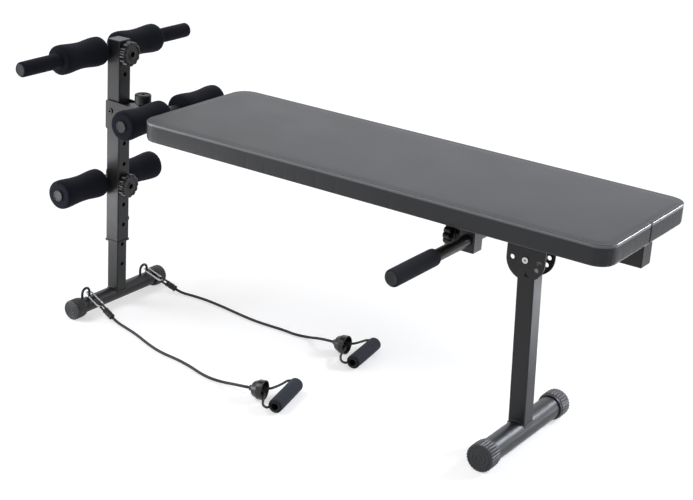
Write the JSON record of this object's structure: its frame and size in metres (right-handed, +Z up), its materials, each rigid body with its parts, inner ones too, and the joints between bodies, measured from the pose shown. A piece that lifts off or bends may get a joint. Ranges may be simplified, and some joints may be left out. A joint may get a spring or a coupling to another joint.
{
  "type": "adjustable exercise bench",
  "caption": "Long padded exercise bench on a telescopic front post and a folding rear leg, with foam leg rollers, push-up bar and elastic pull cords hooked to the base.",
  "frame": {"origin": "on the floor, in the middle of the bench's length and width, without the loose cords", "axes": "+X along the bench from the front post to the rear leg, +Y to the far side, +Z up"},
  "size_m": [1.4006, 0.594, 0.649],
  "materials": {
    "black_steel": "satin",
    "zinc_steel": "satin",
    "foam": "matte",
    "black_plastic": "satin",
    "grey_plastic": "satin",
    "gloss_black": "gloss",
    "elastic_cord": "satin",
    "vinyl": "satin",
    "plywood": "matte"
  },
  "bodies": {
    "front_stand": {"front_base_tube": "black_steel", "front_base_caps": "black_plastic", "inner_post": "black_steel", "wire_eyes": "black_steel", "cord_loops": "elastic_cord", "cord_sleeves": "black_plastic", "hook_near": "zinc_steel", "hook_far": "zinc_steel", "cord_near": "elastic_cord", "cord_far": "elastic_cord", "cord_stop_near": "gloss_black", "cord_stop_far": "gloss_black", "cord_strap_near": "elastic_cord", "cord_strap_far": "elastic_cord", "cord_handle_core_near": "black_plastic", "cord_handle_core_far": "black_plastic", "cord_handle_foam_near": "foam", "cord_handle_foam_far": "foam"},
    "post": {"outer_post": "black_steel", "post_bush": "black_plastic", "post_top_cap": "black_plastic", "upper_bar": "black_steel", "lower_bar": "black_steel", "bar_saddles": "black_steel", "post_bar_plugs": "grey_plastic", "tilt_bolt": "zinc_steel", "upper_grip_near": "foam", "upper_grip_far": "foam"},
    "bracket": {"front_bracket": "black_steel"},
    "bench": {"main_beam": "black_steel", "beam_end_cap": "black_plastic", "knee_bar": "black_steel", "handle_post": "black_steel", "handle_bar": "black_steel", "bench_bar_plugs": "grey_plastic", "pad_board": "plywood", "pad_cushion": "vinyl", "pad_bolts": "zinc_steel", "pad_cross_bars": "black_steel", "leg_plates": "black_steel", "handle_grip_near": "foam", "handle_grip_far": "foam"},
    "rear_leg": {"rear_leg": "black_steel", "leg_bolt": "zinc_steel", "leg_lock_pin": "zinc_steel", "rear_base_tube": "black_steel", "rear_base_caps": "black_plastic"},
    "pull_pin": {"pull_pin": "black_plastic"},
    "height_pin": {"height_pin": "black_plastic"},
    "upper_knob": {"upper_knob": "black_plastic"},
    "lower_knob": {"lower_knob": "black_plastic"},
    "handle_knob": {"handle_knob": "black_plastic"},
    "upper_roller_near": {"upper_roller_near": "foam"},
    "upper_roller_far": {"upper_roller_far": "foam"},
    "lower_roller_near": {"lower_roller_near": "foam"},
    "lower_roller_far": {"lower_roller_far": "foam"},
    "knee_roller_near": {"knee_roller_near": "foam"},
    "knee_roller_far": {"knee_roller_far": "foam"},
    "hook_gate_near": {"hook_gate_near": "zinc_steel"},
    "hook_gate_far": {"hook_gate_far": "zinc_steel"}
  },
  "joints": [
    {"name": "post_height", "type": "slide", "parent": "front_stand", "child": "post", "axis": [0, 0, 1], "range_m": [-0.1, 0.05]},
    {"name": "bench_tilt", "type": "hinge", "parent": "post", "child": "bracket", "pos_m": [-0.63665, 0, 0.478], "axis": [0, 1, 0], "range_deg": [-5.3, 2.7]},
    {"name": "bench_reach", "type": "slide", "parent": "bracket", "child": "bench", "axis": [1, 0, 0], "range_m": [0, 0.04]},
    {"name": "leg_fold", "type": "hinge", "parent": "bench", "child": "rear_leg", "pos_m": [0.45335, 0, 0.405], "axis": [0, -1, 0], "range_deg": [0, 78]},
    {"name": "pull_pin_lift", "type": "slide", "parent": "bracket", "child": "pull_pin", "axis": [0, 0, 1], "range_m": [0, 0.01], "stiffness_N_per_m": 900, "springref_m": -0.004},
    {"name": "height_pin_pull", "type": "slide", "parent": "post", "child": "height_pin", "axis": [0, 1, 0], "range_m": [0, 0.01], "stiffness_N_per_m": 900, "springref_m": -0.004},
    {"name": "upper_roller_near_spin", "type": "hinge", "parent": "post", "child": "upper_roller_near", "pos_m": [-0.66635, -0.095, 0.615], "axis": [0, 1, 0], "continuous": true},
    {"name": "lower_roller_near_spin", "type": "hinge", "parent": "post", "child": "lower_roller_near", "pos_m": [-0.66635, -0.095, 0.3], "axis": [0, 1, 0], "continuous": true},
    {"name": "knee_roller_near_spin", "type": "hinge", "parent": "bench", "child": "knee_roller_near", "pos_m": [-0.47865, -0.095, 0.5042], "axis": [0, 1, 0], "continuous": true},
    {"name": "hook_gate_near_open", "type": "hinge", "parent": "front_stand", "child": "hook_gate_near", "pos_m": [-0.60402, -0.08947, 0.03555], "axis": [0.4052, -0.0354, 0.9135], "range_deg": [0, 22], "stiffness_Nm_per_rad": 0.03, "springref_deg": -17.19},
    {"name": "upper_roller_far_spin", "type": "hinge", "parent": "post", "child": "upper_roller_far", "pos_m": [-0.66635, 0.095, 0.615], "axis": [0, 1, 0], "continuous": true},
    {"name": "lower_roller_far_spin", "type": "hinge", "parent": "post", "child": "lower_roller_far", "pos_m": [-0.66635, 0.095, 0.3], "axis": [0, 1, 0], "continuous": true},
    {"name": "knee_roller_far_spin", "type": "hinge", "parent": "bench", "child": "knee_roller_far", "pos_m": [-0.47865, 0.095, 0.5042], "axis": [0, 1, 0], "continuous": true},
    {"name": "hook_gate_far_open", "type": "hinge", "parent": "front_stand", "child": "hook_gate_far", "pos_m": [-0.60798, 0.12393, 0.03555], "axis": [0.3929, 0.1053, 0.9135], "range_deg": [0, 22], "stiffness_Nm_per_rad": 0.03, "springref_deg": -17.19},
    {"name": "upper_knob_turn", "type": "hinge", "parent": "post", "child": "upper_knob", "pos_m": [-0.61365, 0, 0.615], "axis": [1, 0, 0], "continuous": true},
    {"name": "lower_knob_turn", "type": "hinge", "parent": "post", "child": "lower_knob", "pos_m": [-0.61365, 0, 0.3], "axis": [1, 0, 0], "continuous": true},
    {"name": "handle_knob_turn", "type": "hinge", "parent": "bench", "child": "handle_knob", "pos_m": [0.29685, 0, 0.409], "axis": [-1, 0, 0], "continuous": true}
  ],
  "couplings": [
    {"joint": "bench_tilt", "follows": "post_height", "rad_per_m": 0.90385}
  ]
}
